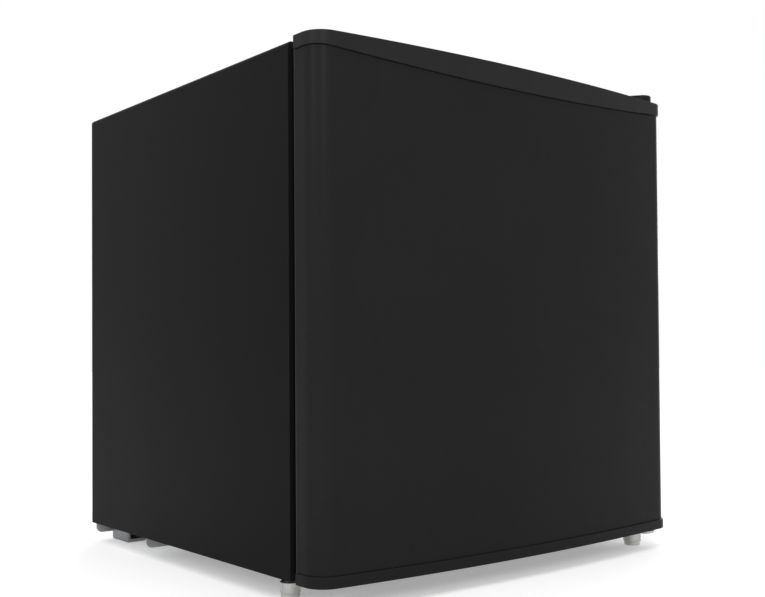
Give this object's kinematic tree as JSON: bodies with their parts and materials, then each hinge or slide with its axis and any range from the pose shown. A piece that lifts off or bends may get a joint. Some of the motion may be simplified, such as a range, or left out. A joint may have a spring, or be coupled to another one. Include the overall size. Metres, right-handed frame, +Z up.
{
  "type": "mini refrigerator",
  "caption": "Black cube refrigerator with one bowed door, a freezer box with a flap, a glass shelf, door racks and a compressor bay open at the back.",
  "frame": {"origin": "on the floor, below the centre of the whole fridge with its door shut", "axes": "+X to the right along the door, +Y from the door to the back, +Z up"},
  "size_m": [0.4738, 0.4648, 0.4935],
  "materials": {
    "black_skin": "satin black paint on steel",
    "galvanised": "galvanised sheet",
    "zinc": "zinc plate",
    "nickel": "nickel plate",
    "black_plastic": "satin black",
    "liner_white": "smooth white",
    "nylon": "natural nylon",
    "foam": "rigid foam",
    "copper": "drawn copper tube",
    "aluminium": "brushed",
    "rubber": "soft black",
    "compressor_paint": "semi-gloss black",
    "glass": "tempered, clear",
    "clear_plastic": "clear",
    "ferrite": "magnet strip"
  },
  "bodies": {
    "cabinet": {"cabinet_wrapper": "black_skin", "bottom_panel": "black_skin", "back_panel": "black_skin", "bay_panel": "galvanised", "cabinet_insulation": "foam", "inner_liner": "liner_white", "hinge_backing_plates": "zinc", "cabinet_hole_plugs": "black_plastic", "top_hinge_bracket": "zinc", "top_hinge_pin": "nickel", "top_hinge_screws": "nickel", "top_hinge_cover": "black_plastic", "bottom_hinge_bracket": "zinc", "bottom_hinge_pin": "nickel", "bottom_hinge_screws": "nickel", "hinge_washer": "nylon", "compressor_base_plate": "galvanised", "base_plate_screws": "nickel", "rear_feet": "galvanised", "cord_gland": "rubber", "compressor_shell": "compressor_paint", "compressor_legs": "compressor_paint", "compressor_grommets": "rubber", "grommet_bolts": "nickel", "relay_cover": "black_plastic", "discharge_tube": "copper", "suction_tube": "copper", "process_tube": "copper", "condenser_tube": "copper", "filter_drier": "copper", "capillary_tube": "copper", "evaporator": "aluminium", "evaporator_spacers": "nylon", "evaporator_screws": "nickel", "flap_brackets": "nylon", "tray_rails": "nylon", "thermostat_housing": "liner_white", "thermostat_body": "galvanised", "thermostat_bulb": "copper", "bulb_clip": "nylon"},
    "door": {"door_skin": "black_skin", "door_top_cap": "black_plastic", "door_bottom_cap": "black_plastic", "door_insulation": "foam", "door_liner": "liner_white", "door_gasket": "rubber", "gasket_magnets": "ferrite", "hinge_bushes": "nylon", "upper_bottle_rail": "clear_plastic", "lower_bottle_rail": "clear_plastic", "door_hole_plugs": "black_plastic"},
    "flap": {"freezer_flap": "liner_white"},
    "drip_tray": {"drip_tray": "liner_white"},
    "shelf": {"shelf_glass": "glass", "shelf_front_trim": "liner_white", "shelf_rear_trim": "liner_white"},
    "knob": {"thermostat_knob": "liner_white", "thermostat_shaft": "nickel"},
    "left_foot": {"front_left_foot": "nickel"},
    "right_foot": {"front_right_foot": "nickel"}
  },
  "joints": [
    {"name": "door_hinge", "type": "hinge", "parent": "cabinet", "child": "door", "pos_m": [0.2145, -0.20255, 0.25], "axis": [0, 0, 1], "range_deg": [0, 120]},
    {"name": "flap_hinge", "type": "hinge", "parent": "cabinet", "child": "flap", "pos_m": [-0.0515, -0.06755, 0.347], "axis": [1, 0, 0], "range_deg": [0, 90]},
    {"name": "drip_tray_slide", "type": "slide", "parent": "cabinet", "child": "drip_tray", "axis": [0, -1, 0], "range_m": [0, 0.07]},
    {"name": "shelf_slide", "type": "slide", "parent": "cabinet", "child": "shelf", "axis": [0, -1, 0], "range_m": [0, 0.036]},
    {"name": "knob_turn", "type": "hinge", "parent": "cabinet", "child": "knob", "pos_m": [0.1305, -0.05555, 0.41], "axis": [0, 1, 0], "range_deg": [0, 300]},
    {"name": "left_foot_turn", "type": "hinge", "parent": "cabinet", "child": "left_foot", "pos_m": [-0.2145, -0.14555, 0.01], "axis": [0, 0, 1], "range_deg": [-360, 360]},
    {"name": "right_foot_turn", "type": "hinge", "parent": "cabinet", "child": "right_foot", "pos_m": [0.2085, -0.18905, 0.01], "axis": [0, 0, 1], "range_deg": [-360, 360]}
  ]
}
